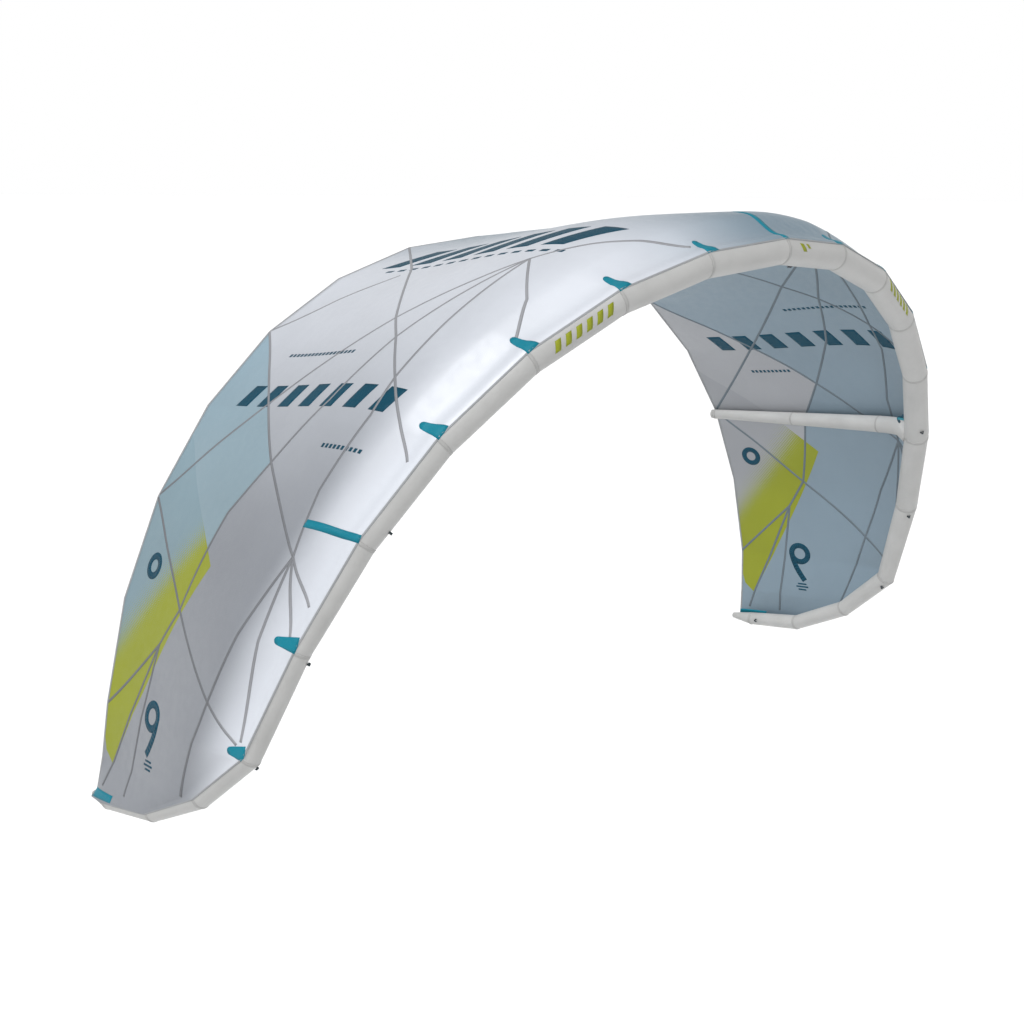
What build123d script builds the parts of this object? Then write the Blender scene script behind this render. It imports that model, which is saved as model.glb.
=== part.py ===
"""Inflatable leading-edge kitesurf kite, 9 square metres, in its flying shape.

+X runs along the span, +Y from the leading edge to the trailing edge, +Z up.
The origin is the middle of the span at the lowest point of the wing tips.
"""
from build123d import *
from math import cos, exp, hypot, pi, radians, sin, sqrt
import os

# ---- Driving dimensions (mm) ----
NOSE_Y = -857.0              # leading edge tube's centre in the middle of the span
NOSE_Z = 2211.7
HALF_SPAN = 2100.0           # front view: half width and drop of the tube's centre line
DROP = 2290.0
ROUND_ACROSS = 2.07          # exponents of the front view's superellipse
ROUND_DOWN = 2.29
SEAM_PITCH = 429.0           # tube segment length along the arc
MAIN_SEAMS = 7               # seams from the centre to where the wing tip turns aft
SWEEP = 37.0                 # how far aft the first seam lies
SWEEP_POWER = 1.56
TIP_ARC = 3393.0             # arc from the centre to the bottom of the wing tip
TIP_TURN = 2.3
TIP_SEAMS_Y = (1040.0, 1346.0, 1652.0)   # the tube's last seams, which run aft along the tip
TIP_END_Y = 1771.0
TUBE_RADII = (58, 59, 59, 59, 58, 57, 52, 45, 40, 38, 33, 14)   # at each seam
TUBE_TOPS = (70, 69, 67, 66, 65, 64, 59, 53, 51, 49, 43, 15)    # tube's outside over the rib's base line
TRAILING_EDGE_Y = 1705.0
TIP_TRAIL_Y = (1718.0, 1735.0, 1751.0)

SLEEVE = 1.5                 # cloth of the tubes
BLADDER_GAP = 1.0
BLADDER = 1.0
BLADDER_SHORT = 18.0         # strut bladder short of its sleeve
CANOPY = 2.0                 # canopy cloth
CLEAR = 2.5                  # canopy's inner face off the tube
CAMBER = 0.341               # canopy crown between struts
STRUT_CAMBER = 0.11          # canopy crown along a strut
WRAP = 42.0                  # degrees that the canopy wraps forward over the tube

STRUT_SEAM = 5               # quarter struts stand at this seam
STRUT_NOSE_R = 46.0
STRUT_TAIL_R = 23.0
STRUT_PAST = 12.0            # the strut's round end stands past the trailing edge
STRUT_STATIONS = (0.03, 0.10, 0.20, 0.38, 0.60, 0.82, 1.0)
CANOPY_STATIONS = (0.09, 0.16, 0.27, 0.42, 0.60, 0.80)

HOSE_R = 6.0                 # one-pump hose from the leading edge into each strut
HOSE_BEND_R = 26.0
HOSE_ASIDE = 86.0            # hose off the strut's rib
HOSE_UP = 36.0
HOSE_AFT = 0.07             # the elbow's chord share
CLAMP_LONG = 26.0
CLAMP_WIDE = 24.0
CLAMP_HIGH = 20.0
LEVER_LONG = 34.0
LEVER_WIDE = 12.0
LEVER_THICK = 4.0
EAR = 4.0
PIN_R = 1.5
RUNNING = 0.06               # radial clearance of a hinge pin

LOOP_R = 4.0                 # line loops: bore, wall and webbing width
LOOP_WALL = 1.8
LOOP_WIDTH = 10.0
LOOP_FOOT = 16.0
LOOP_TILT = 35.0             # degrees inward from straight ahead
BRIDLE_POINTS = ((4, 0.80), (6, 0.06), (7, 0.08))   # segment and share along it
TIP_POINT = (9, 0.82)

VALVE_TILT = 35.0            # degrees below straight aft
VALVE_PLACES = (("inflation_valve", 0, 1, 0.40), ("dump_valve", 5, -1, 0.50))
FLANGE_R = 25.0
NECK_R = 13.0
NECK_BORE_R = 9.0
NECK_HIGH = 18.0
CAP_THICK = 3.0
PLUG_DEEP = 8.0
HINGE_OFF = 20.0             # cap hinge from the valve's axis

os.makedirs("parts", exist_ok=True)


def save(part, name):
    part.label = name
    export_step(part, f"parts/{name}.step")


# ---- Lines of the wing ----
def front_outline(turn):
    across = HALF_SPAN * sin(turn) ** (2 / ROUND_ACROSS)
    rise = abs(cos(turn)) ** (2 / ROUND_DOWN) * (1 if turn < pi / 2 else -1)
    return across, DROP * (rise - 1)


def walk_front(arcs):
    """Points of the front view's outline at these lengths from the centre."""
    steps = 4000
    found = []
    run = 0.0
    last = front_outline(0)
    for i in range(1, steps + 1):
        here = front_outline(1.2 * pi / 2 * i / steps)
        run += hypot(here[0] - last[0], here[1] - last[1])
        while len(found) < len(arcs) and run >= arcs[len(found)]:
            found.append(here)
        last = here
    return found


def tip_share(y):
    first = SWEEP * MAIN_SEAMS ** SWEEP_POWER
    return (y - first) / (TIP_SEAMS_Y[-1] - first)


def seam_arcs():
    main = [SEAM_PITCH * k for k in range(MAIN_SEAMS + 1)]
    left = TIP_ARC - main[-1]
    tip = [TIP_ARC - left * (1 - tip_share(y)) ** TIP_TURN for y in TIP_SEAMS_Y]
    return main + tip + [TIP_ARC]


def seam_ys():
    main = [SWEEP * k ** SWEEP_POWER for k in range(MAIN_SEAMS + 1)]
    return main + list(TIP_SEAMS_Y) + [TIP_END_Y]


FRONT = [(0.0, 0.0)] + walk_front(seam_arcs()[1:])
SEAM_Y = seam_ys()
SEAMS = len(SEAM_Y)


def seam_point(k, side):
    return Vector(side * FRONT[k][0], NOSE_Y + SEAM_Y[k], NOSE_Z + FRONT[k][1])


def outward(k, side):
    """Unit vector out of the wing's front view outline at seam k."""
    if k == 0:
        return Vector(0, 0, 1)
    before = FRONT[min(k, SEAMS - 2) - 1]
    after = FRONT[min(k + 1, SEAMS - 2)]
    along = Vector(after[0] - before[0], 0, after[1] - before[1]).normalized()
    return Vector(-side * along.Z, 0, along.X)


def tube_centre(k, side):
    return seam_point(k, side) + outward(k, side) * (TUBE_TOPS[k] - TUBE_RADII[k])


def seam_direction(k, side):
    """Direction of the tube at seam k, halfway between its two segments."""
    if k == 0:
        return Vector(side, 0, 0)
    into = (tube_centre(k, side) - tube_centre(k - 1, side)).normalized()
    if k == SEAMS - 1:
        return into
    out = (tube_centre(k + 1, side) - tube_centre(k, side)).normalized()
    return (into + out).normalized()


def seam_plane(k, side):
    return Plane(tube_centre(k, side), x_dir=outward(k, side), z_dir=seam_direction(k, side))


def rib_plane(k, side):
    """Plane of the canopy's rib at seam k: x runs aft, y out of the wing."""
    out = outward(k, side)
    return Plane(seam_point(k, side), x_dir=(0, 1, 0), z_dir=(out.Z, 0, -out.X))


def chord(k):
    if k <= MAIN_SEAMS:
        return TRAILING_EDGE_Y - SEAM_Y[k]
    return TIP_TRAIL_Y[k - MAIN_SEAMS - 1] - SEAM_Y[k]


def crown(k, t):
    """Height of the canopy's inner face over the rib's base line at chord share t."""
    c = chord(k)
    if k in (0, STRUT_SEAM):
        return STRUT_CAMBER * c * (1 - t) * (1 - exp(-t / 0.045))
    if k == 9:
        return (TUBE_TOPS[k] + 9) * sqrt(1 - (t / 1.02) ** 2)
    return CAMBER * c * sqrt(t) * (1 - t) ** 1.9


# ---- Tubes ----
def disc(plane, radius):
    with BuildSketch(plane) as sketch:
        Circle(radius)
    return sketch.sketch.faces()[0]


def tube_discs(near, far, side, extra):
    """Sections of the leading edge at two seams; a seam of -1 is the other half's first."""
    seams = ((near, side), (abs(far), -side if far < 0 else side))
    return [disc(seam_plane(k, on), TUBE_RADII[k] + extra) for k, on in seams]


def le_segment(k, side):
    """Tapered cloth tube between two seams, with open ends."""
    with BuildPart() as shell:
        loft(tube_discs(k, k + 1, side, 0), ruled=True)
        loft(tube_discs(k, k + 1, side, -SLEEVE), ruled=True, mode=Mode.SUBTRACT)
    return shell.part


def le_bladder():
    """One long bladder through the whole leading edge, closed at both tips."""
    order = [(k, -1) for k in range(SEAMS - 2, 0, -1)] + [(k, 1) for k in range(SEAMS - 1)]
    with BuildPart() as bladder:
        for shrink, mode in ((0, Mode.ADD), (BLADDER, Mode.SUBTRACT)):
            inset = SLEEVE + BLADDER_GAP + shrink
            sections = []
            for k, side in order:
                plane = seam_plane(k, side)
                if k == SEAMS - 2:
                    plane = plane.offset(-shrink)
                sections.append(disc(plane, TUBE_RADII[k] - inset))
            loft(sections, ruled=True, mode=mode)
    return bladder.part


def strut_axis(k, side, t):
    """Centre of the strut at chord share t, just under the canopy, and its radius."""
    radius = STRUT_NOSE_R + (STRUT_TAIL_R - STRUT_NOSE_R) * t
    up = crown(k, t) - CLEAR - radius
    return seam_point(k, side) + Vector(0, chord(k) * t, 0) + outward(k, side) * up, radius


def strut_planes(k, side):
    """Section planes along a strut, square to its centre line, with their radii."""
    points = [strut_axis(k, side, t) for t in STRUT_STATIONS]
    planes = []
    for i, (point, radius) in enumerate(points):
        along = points[min(i + 1, len(points) - 1)][0] - points[max(i - 1, 0)][0]
        across = along.cross(outward(k, side))
        planes.append((Plane(point, x_dir=across, z_dir=along), radius))
    return planes


def strut_sleeve(k, side):
    """Bent, tapered cloth tube, cut to the leading edge in front and closed behind."""
    planes = strut_planes(k, side)
    tail, tail_r = planes[-1]
    with BuildPart() as strut:
        loft([disc(plane, radius) for plane, radius in planes], ruled=True)
        inside = [disc(plane, radius - SLEEVE) for plane, radius in planes]
        loft(inside, ruled=True, mode=Mode.SUBTRACT)
        loft([disc(tail, tail_r), disc(tail.offset(STRUT_PAST), tail_r * 0.6)])
        for far in (k + 1, k - 1):
            loft(tube_discs(k, far, side, CLEAR), ruled=True, mode=Mode.SUBTRACT)
    return strut.part


def strut_bladder(k, side):
    """Closed bladder, short of the sleeve's two ends."""
    planes = strut_planes(k, side)[1:]
    for end, beside in ((0, 1), (-1, -2)):
        plane, radius = planes[end]
        inward = (planes[beside][0].origin - plane.origin).normalized() * BLADDER_SHORT
        square = Plane(plane.origin + inward, x_dir=plane.x_dir, z_dir=plane.z_dir)
        planes[end] = (square, radius)
    with BuildPart() as bladder:
        for shrink, mode in ((0, Mode.ADD), (BLADDER, Mode.SUBTRACT)):
            inset = SLEEVE + BLADDER_GAP + shrink
            ends = {0: shrink, len(planes) - 1: -shrink}
            sections = [disc(plane.offset(ends.get(i, 0)), radius - inset)
                        for i, (plane, radius) in enumerate(planes)]
            loft(sections, ruled=True, mode=mode)
    return bladder.part


# ---- Canopy ----
def rib_curve(k, lift):
    """Points of a rib's canopy line, from its front seam on the tube to its trailing edge."""
    radius = TUBE_RADII[k] + CLEAR + lift
    sweep = min(0.9, (SEAM_Y[k] - SEAM_Y[max(k - 1, 0)]) / SEAM_PITCH)
    stretch = 1 / sqrt(1 - sweep ** 2) if k < 8 else 1
    wraps = (WRAP, 0.55 * WRAP) if k < 7 else ((26, 8) if k == 7 else (0,))
    rise = TUBE_TOPS[k] - TUBE_RADII[k]
    front = [(-radius * stretch * sin(radians(a)), rise + radius * cos(radians(a))) for a in wraps]
    if k == SEAMS - 2:
        tail = (chord(k), TUBE_TOPS[k] * 0.5 + 9 + lift)
        return [(x, y + 4) for x, y in front] + [tail]
    if k == 7:
        front = [(x, y + 5) for x, y in front]
    stations = CANOPY_STATIONS if k < 9 else (0.3, 0.6, 0.85)
    body = [(chord(k) * t, crown(k, t) + lift) for t in stations]
    return front + body + [(chord(k), (8 if k == 9 else 0) + lift)]


def rib_section(k, side):
    with BuildSketch(rib_plane(k, side)) as section:
        with BuildLine():
            inner = rib_curve(k, 0)
            outer = rib_curve(k, CANOPY)
            Spline(*inner)
            Spline(*outer)
            Line(inner[0], outer[0])
            Line(inner[-1], outer[-1])
        make_face()
    return section


def canopy_panel(first, last, side, name):
    """Cloth between the ribs at two seams, ruled from rib to rib."""
    with BuildPart() as panel:
        for k in range(first, last):
            near = rib_section(k, side)
            far = rib_section(k + 1, side)
            loft([near.sketch.faces()[0], far.sketch.faces()[0]], ruled=True)
    save(panel.part, name)


# ---- Inflation hoses and their clamps ----
def toward_centre(k, side):
    out = outward(k, side)
    return Vector(out.Z, 0, -out.X) * -side


def beside_strut(k, side, aside, aft, up):
    """A point from a strut's seam: aside toward the middle of the span, aft, and out of the wing."""
    aside_by = toward_centre(k, side) * aside
    return seam_point(k, side) + aside_by + Vector(0, aft, 0) + outward(k, side) * up


def hose(k, side):
    """Hose from the leading edge's back, with one elbow into the strut's side."""
    aft = HOSE_AFT * chord(k) + 20
    route = [
        beside_strut(k, side, HOSE_ASIDE, 24, HOSE_UP),
        beside_strut(k, side, HOSE_ASIDE, aft, HOSE_UP),
        beside_strut(k, side, HOSE_ASIDE - 52, aft, HOSE_UP + 12),
    ]
    with BuildPart() as tube:
        with BuildLine() as path:
            FilletPolyline(*route, radius=HOSE_BEND_R)
        with BuildSketch(Plane(route[0], z_dir=route[1] - route[0])):
            Circle(HOSE_R)
        sweep(path=path.line)
        for far in (k + 1, k - 1):
            loft(tube_discs(k, far, side, 0.4), ruled=True, mode=Mode.SUBTRACT)
        nose = [disc(plane, radius + 0.4) for plane, radius in strut_planes(k, side)[:4]]
        loft(nose, ruled=True, mode=Mode.SUBTRACT)
    return tube.part


def clamp_plane(k, side):
    """The clamp's middle on its hose: x runs aft along the hose, z into the kite."""
    middle = beside_strut(k, side, HOSE_ASIDE, HOSE_AFT * chord(k) - 24, HOSE_UP)
    return Plane(middle, x_dir=(0, 1, 0), z_dir=outward(k, side) * -1)


def ear_spots():
    off = LEVER_WIDE / 2 + RUNNING * 5 + EAR / 2
    return [(PIN_X, -off, PIN_Z), (PIN_X, off, PIN_Z)]


PIN_X = -CLAMP_LONG / 2 + 4.5
PIN_Z = CLAMP_HIGH / 2 + 4.5


def clamp_body(k, side):
    with BuildPart(clamp_plane(k, side)) as body:
        Box(CLAMP_LONG, CLAMP_WIDE, CLAMP_HIGH)
        fillet(body.edges().filter_by(Axis(body.workplanes[0].origin,
                                           body.workplanes[0].z_dir)), 3)
        Cylinder(HOSE_R + 0.3, CLAMP_LONG * 2, rotation=(0, 90, 0), mode=Mode.SUBTRACT)
        with Locations(*ear_spots()):
            Cylinder(4.5, EAR, rotation=(90, 0, 0))
        with Locations(*[(x, y, z - 3.5) for x, y, z in ear_spots()]):
            Box(9, EAR, 5)
        with Locations((PIN_X, 0, PIN_Z)):
            Cylinder(PIN_R, CLAMP_WIDE * 2, rotation=(90, 0, 0), mode=Mode.SUBTRACT)
    return body.part


def hinge_pin(plane, spot, length):
    with BuildPart(plane) as pin:
        with Locations(spot):
            Cylinder(PIN_R, length, rotation=(90, 0, 0))
    return pin.part


def clamp_lever(k, side, name):
    with BuildPart(clamp_plane(k, side)) as lever:
        with Locations((PIN_X, 0, PIN_Z)):
            Cylinder(3.6, LEVER_WIDE, rotation=(90, 0, 0))
        with Locations((PIN_X + LEVER_LONG / 2, 0, PIN_Z)):
            Box(LEVER_LONG, LEVER_WIDE, LEVER_THICK)
        with Locations((PIN_X + LEVER_LONG, 0, PIN_Z)):
            Cylinder(LEVER_WIDE / 2, LEVER_THICK)
        with Locations((PIN_X, 0, PIN_Z)):
            Cylinder(PIN_R + RUNNING, LEVER_WIDE * 2, rotation=(90, 0, 0), mode=Mode.SUBTRACT)
    save(lever.part, name)


# ---- Valves ----
def on_segment(k, side, share):
    """Point on a tube segment's centre line, its direction and the tube's radius there."""
    start = tube_centre(k, side)
    end = tube_centre(k + 1, side)
    radius = TUBE_RADII[k] + (TUBE_RADII[k + 1] - TUBE_RADII[k]) * share
    return start + (end - start) * share, (end - start).normalized(), radius


def valve_plane(k, side, share):
    """Valve's base on the tube: z points out of the tube, aft and into the kite."""
    centre, along, radius = on_segment(k, side, share)
    inward = outward(k, side) * -1
    out = Vector(0, cos(radians(VALVE_TILT)), 0) + inward * sin(radians(VALVE_TILT))
    out = (out - along * out.dot(along)).normalized()
    return Plane(centre + out * radius, x_dir=along, z_dir=out)


def valve_base(k, side, share, name):
    post = LEVER_WIDE / 2 + RUNNING * 5 + EAR / 2
    with BuildPart(valve_plane(k, side, share)) as base:
        with Locations((0, 0, -3)):
            Cylinder(FLANGE_R, 8)
        with Locations((0, 0, NECK_HIGH / 2)):
            Cylinder(NECK_R, NECK_HIGH)
        with Locations((-post, HINGE_OFF, NECK_HIGH / 2), (post, HINGE_OFF, NECK_HIGH / 2)):
            Box(EAR, 9, NECK_HIGH)
        with Locations((-post, HINGE_OFF, NECK_HIGH), (post, HINGE_OFF, NECK_HIGH)):
            Cylinder(4.5, EAR, rotation=(0, 90, 0))
        with Locations((0, 0, NECK_HIGH / 2)):
            Cylinder(NECK_BORE_R, NECK_HIGH * 3, mode=Mode.SUBTRACT)
        with Locations((0, HINGE_OFF, NECK_HIGH + 1.5)):
            Cylinder(PIN_R, CLAMP_WIDE * 2, rotation=(0, 90, 0), mode=Mode.SUBTRACT)
        loft(tube_discs(k, k + 1, side, 0.4), ruled=True, mode=Mode.SUBTRACT)
    save(base.part, name)


def valve_cap(k, side, share, name):
    level = NECK_HIGH + 0.4
    with BuildPart(valve_plane(k, side, share)) as cap:
        with Locations((0, 0, level + CAP_THICK / 2)):
            Cylinder(NECK_R + 1.5, CAP_THICK)
        with Locations((0, 0, level - PLUG_DEEP / 2)):
            Cone(NECK_BORE_R - 2.5, NECK_BORE_R - 0.4, PLUG_DEEP)
        with Locations((0, HINGE_OFF / 2, level + CAP_THICK / 2)):
            Box(LEVER_WIDE, HINGE_OFF, CAP_THICK)
        with Locations((0, -NECK_R - 3, level + CAP_THICK / 2)):
            Box(9, 7, CAP_THICK)
        with Locations((0, HINGE_OFF, NECK_HIGH + 1.5)):
            Cylinder(3.0, LEVER_WIDE, rotation=(0, 90, 0))
            Cylinder(PIN_R + RUNNING, LEVER_WIDE * 2, rotation=(0, 90, 0), mode=Mode.SUBTRACT)
    save(cap.part, name)


def valve_pin(k, side, share):
    with BuildPart(valve_plane(k, side, share)) as pin:
        with Locations((0, HINGE_OFF, NECK_HIGH + 1.5)):
            Cylinder(PIN_R, LEVER_WIDE + 2 * EAR, rotation=(0, 90, 0))
    return pin.part


# ---- Line loops ----
def line_loop(k, side, share, tilt):
    """Webbing loop sewn on the tube: a ring whose bore runs along the tube, on a flat foot."""
    centre, along, radius = on_segment(k, side, share)
    inward = outward(k, side) * -1
    face = Vector(0, -cos(radians(tilt)), 0) + inward * sin(radians(tilt))
    face = (face - along * face.dot(along)).normalized()
    ring_r = LOOP_R + LOOP_WALL
    with BuildPart(Plane(centre + face * (radius + 0.8), x_dir=along, z_dir=face)) as loop:
        with Locations((0, 0, 1)):
            Box(LOOP_WIDTH, LOOP_FOOT, 2)
        with Locations((0, 0, 1 + ring_r)):
            Cylinder(ring_r, LOOP_WIDTH, rotation=(0, 90, 0))
            Cylinder(LOOP_R, LOOP_WIDTH * 2, rotation=(0, 90, 0), mode=Mode.SUBTRACT)
    return loop.part


# ---- Build ----
SIDES = (("left", -1), ("right", 1))
STRUTS = (("left", STRUT_SEAM, -1), ("centre", 0, 1), ("right", STRUT_SEAM, 1))

for word, side in SIDES:
    for k in range(SEAMS - 1):
        save(le_segment(k, side), f"le_tube_{word}_{k + 1:02d}")
    for k in range(MAIN_SEAMS):
        canopy_panel(k, k + 1, side, f"canopy_{word}_{k + 1}")
    canopy_panel(MAIN_SEAMS, SEAMS - 2, side, f"canopy_{word}_tip")
    loops = [line_loop(k, side, share, LOOP_TILT) for k, share in BRIDLE_POINTS]
    save(Compound(children=loops), f"bridle_loops_{word}")
save(Compound(children=[line_loop(*TIP_POINT[:1], side, TIP_POINT[1], 90) for _, side in SIDES]),
     "tip_loops")
save(le_bladder(), "le_bladder")

for word, k, side in STRUTS:
    save(strut_sleeve(k, side), f"strut_{word}")
    save(hose(k, side), f"hose_{word}")
    clamp_lever(k, side, f"clamp_lever_{word}")
save(Compound(children=[strut_bladder(k, side) for _, k, side in STRUTS]), "strut_bladders")
save(Compound(children=[clamp_body(k, side) for _, k, side in STRUTS]), "clamp_bodies")
pins = [hinge_pin(clamp_plane(k, side), (PIN_X, 0, PIN_Z), LEVER_WIDE + 2 * EAR)
        for _, k, side in STRUTS]
save(Compound(children=pins), "clamp_pins")

for name, k, side, share in VALVE_PLACES:
    valve_base(k, side, share, f"{name}_base")
    valve_cap(k, side, share, f"{name}_cap")
save(Compound(children=[valve_pin(*place[1:]) for place in VALVE_PLACES]), "valve_pins")
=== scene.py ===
"""Looks of the kitesurf kite: sewn canopy, air tubes, struts, tapes and fittings, in the CAD frame."""

from math import cos, exp, hypot, pi, radians, sin, sqrt

import bmesh
import bpy
from mathutils import Matrix, Vector


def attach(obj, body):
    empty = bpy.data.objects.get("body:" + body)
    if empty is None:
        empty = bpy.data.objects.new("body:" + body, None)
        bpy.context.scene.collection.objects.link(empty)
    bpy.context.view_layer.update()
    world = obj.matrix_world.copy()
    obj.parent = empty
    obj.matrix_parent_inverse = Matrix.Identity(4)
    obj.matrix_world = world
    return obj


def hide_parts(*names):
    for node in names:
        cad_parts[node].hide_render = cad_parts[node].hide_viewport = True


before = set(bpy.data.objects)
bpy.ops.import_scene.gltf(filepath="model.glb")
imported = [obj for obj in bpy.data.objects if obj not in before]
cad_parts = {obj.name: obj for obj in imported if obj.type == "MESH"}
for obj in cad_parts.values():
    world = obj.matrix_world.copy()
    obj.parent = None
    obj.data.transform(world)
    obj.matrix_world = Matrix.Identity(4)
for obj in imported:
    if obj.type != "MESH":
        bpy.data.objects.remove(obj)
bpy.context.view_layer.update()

# ---- Driving dimensions (m), the same as the CAD model's ----
NOSE = Vector((0.0, -0.8570, 2.2117))
HALF_SPAN = 2.100
DROP = 2.290
ROUND_ACROSS = 2.07
ROUND_DOWN = 2.29
SEAM_PITCH = 0.429
MAIN_SEAMS = 7
SWEEP = 0.037
SWEEP_POWER = 1.56
TIP_ARC = 3.393
TIP_TURN = 2.3
TIP_SEAMS_Y = (1.040, 1.346, 1.652)
TIP_END_Y = 1.771
TUBE_RADII = (0.058, 0.059, 0.059, 0.059, 0.058, 0.057, 0.052, 0.045, 0.040, 0.038, 0.033, 0.014)
# The tube's top over the rib's base line, at each seam.
TUBE_TOPS = (0.070, 0.069, 0.067, 0.066, 0.065, 0.064, 0.059, 0.053, 0.051, 0.049, 0.043, 0.015)
TRAILING_EDGE_Y = 1.705
TIP_TRAIL_Y = (1.718, 1.735, 1.751)
CLEAR = 0.0025
CAMBER = 0.341
CAMBER_TAIL = 1.9
STRUT_CAMBER = 0.11
STRUT_RISE = 0.045
TIP_CREST = 0.009
STRUT_SEAM = 5
STRUT_NOSE_R = 0.046
STRUT_TAIL_R = 0.023
BRIDLE_POINTS = ((4, 0.80), (6, 0.06), (7, 0.08))
TIP_POINT = (9, 0.82)
LOOP_TILT = 35.0
TIP_LOOP_TILT = 90.0

# ---- Cloth ----
# The canopy's turn forward over the tube at each seam, and how much further off it is at the tip.
WRAP_DEGREES = (42, 42, 42, 42, 42, 42, 42, 26, 8, 8, 8)
WRAP_RAISE = {7: 0.005, 9: 0.0065, 10: 0.004}
LEAVE = 0.09                 # chord share where the canopy has risen clear of the tube
LIFT = 0.001                 # canopy's mid surface over its inner face
CANOPY_HALF = 0.0005         # half of each sheet's thickness
HEM_HALF = 0.0013
TAPE_HALF = 0.0013
PATCH_HALF = 0.0017
PRINT_HALF = 0.0011
TAPE_WIDTH = 0.0112
GORE_COLUMNS = 16
WRAP_ROWS = 7
RISE_ROWS = 14
AFT_ROWS = 60
SLEEVE = 0.0009
TUBE_SWELL = 0.0008          # inflated cloth stands this far out between seams
PUCKER = 0.0005
PUCKERS = 22
TAPE_STEP = 0.012
PRINT_STEP = 0.018

# ---- Camera and light ----
CAMERA_AT = (-6.018, -5.2860, 2.6207)
CAMERA_YAW = 45.56
CAMERA_PITCH = -11.19
CAMERA_ROLL = 0.41
CAMERA_LENS = 65.04
HORIZON = 1.0
OVERHEAD = 0.27
SKY_FADE = (0.12, 0.45)      # heights on the unit dome where its fade starts and ends
FLOOR_RADIUS = 90
KEY = 3.1
KEY_SPREAD = 40
KEY_TOWARD = (-0.45, -0.22, 0.86)


def add_camera():
    data = bpy.data.cameras.new("camera")
    data.lens = CAMERA_LENS
    data.clip_end = 200
    camera = bpy.data.objects.new("camera", data)
    bpy.context.scene.collection.objects.link(camera)
    yaw = Matrix.Rotation(radians(-CAMERA_YAW), 4, "Z")
    pitch = Matrix.Rotation(radians(90 + CAMERA_PITCH), 4, "X")
    roll = Matrix.Rotation(radians(CAMERA_ROLL), 4, "Z")
    camera.matrix_world = Matrix.Translation(CAMERA_AT) @ yaw @ pitch @ roll
    bpy.context.scene.camera = camera


add_camera()


# ---- Lines of the wing ----
def mix(a, b, share):
    return a + (b - a) * share


def smooth(x, low, high):
    share = min(1.0, max(0.0, (x - low) / (high - low)))
    return share * share * (3 - 2 * share)


def hermite(start, end, slope_in, slope_out, u):
    """A smooth curve from start to end with these slopes at its two ends."""
    u2 = u * u
    u3 = u2 * u
    ends = start * (2 * u3 - 3 * u2 + 1) + end * (3 * u2 - 2 * u3)
    return ends + slope_in * (u3 - 2 * u2 + u) + slope_out * (u3 - u2)


def front_outline(turn):
    across = HALF_SPAN * sin(turn) ** (2 / ROUND_ACROSS)
    rise = abs(cos(turn)) ** (2 / ROUND_DOWN) * (1 if turn < pi / 2 else -1)
    return across, DROP * (rise - 1)


def walk_front(arcs):
    """Points of the front view's outline at these lengths from the centre."""
    steps = 4000
    found = []
    run = 0.0
    last = front_outline(0)
    for i in range(1, steps + 1):
        here = front_outline(1.2 * pi / 2 * i / steps)
        run += hypot(here[0] - last[0], here[1] - last[1])
        while len(found) < len(arcs) and run >= arcs[len(found)]:
            found.append(here)
        last = here
    return found


def tip_share(y):
    first = SWEEP * MAIN_SEAMS ** SWEEP_POWER
    return (y - first) / (TIP_SEAMS_Y[-1] - first)


def seam_arcs():
    main = [SEAM_PITCH * k for k in range(MAIN_SEAMS + 1)]
    left = TIP_ARC - main[-1]
    tip = [TIP_ARC - left * (1 - tip_share(y)) ** TIP_TURN for y in TIP_SEAMS_Y]
    return main + tip + [TIP_ARC]


ARCS = seam_arcs()
FRONT = [(0.0, 0.0)] + walk_front(ARCS[1:])
SEAM_Y = [SWEEP * k ** SWEEP_POWER for k in range(MAIN_SEAMS + 1)] + list(TIP_SEAMS_Y) + [TIP_END_Y]
SEAMS = len(SEAM_Y)
LAST_RIB = SEAMS - 2


def chord(k):
    if k <= MAIN_SEAMS:
        return TRAILING_EDGE_Y - SEAM_Y[k]
    return TIP_TRAIL_Y[k - MAIN_SEAMS - 1] - SEAM_Y[k]


def seam_point(k, side):
    return NOSE + Vector((side * FRONT[k][0], SEAM_Y[k], FRONT[k][1]))


def outward(k, side):
    if k == 0:
        return Vector((0, 0, 1))
    before = FRONT[min(k, LAST_RIB) - 1]
    after = FRONT[min(k + 1, LAST_RIB)]
    along = Vector((after[0] - before[0], 0, after[1] - before[1])).normalized()
    return Vector((-side * along.z, 0, along.x))


def tube_rise(k):
    """How far the tube's centre lies out of the rib's base line."""
    return TUBE_TOPS[k] - TUBE_RADII[k]


def tube_centre(k, side):
    return seam_point(k, side) + outward(k, side) * tube_rise(k)


def seam_direction(k, side):
    if k == 0:
        return Vector((side, 0, 0))
    into = (tube_centre(k, side) - tube_centre(k - 1, side)).normalized()
    if k == SEAMS - 1:
        return into
    out = (tube_centre(k + 1, side) - tube_centre(k, side)).normalized()
    return (into + out).normalized()


def crown(k, t):
    """Height of the canopy's inner face over the rib's base line at chord share t."""
    c = chord(k)
    if k in (0, STRUT_SEAM):
        return STRUT_CAMBER * c * (1 - t) * (1 - exp(-t / STRUT_RISE))
    if k == LAST_RIB - 1:
        return (TUBE_TOPS[k] + TIP_CREST) * sqrt(1 - (t / 1.02) ** 2)
    if k == LAST_RIB:
        return mix(TUBE_TOPS[k] + CLEAR + WRAP_RAISE[k], TUBE_TOPS[k] * 0.5 + TIP_CREST, t)
    return CAMBER * c * sqrt(t) * max(0.0, 1 - t) ** CAMBER_TAIL


def wrap_radius(k):
    return TUBE_RADII[k] + CLEAR + WRAP_RAISE.get(k, 0)


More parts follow.
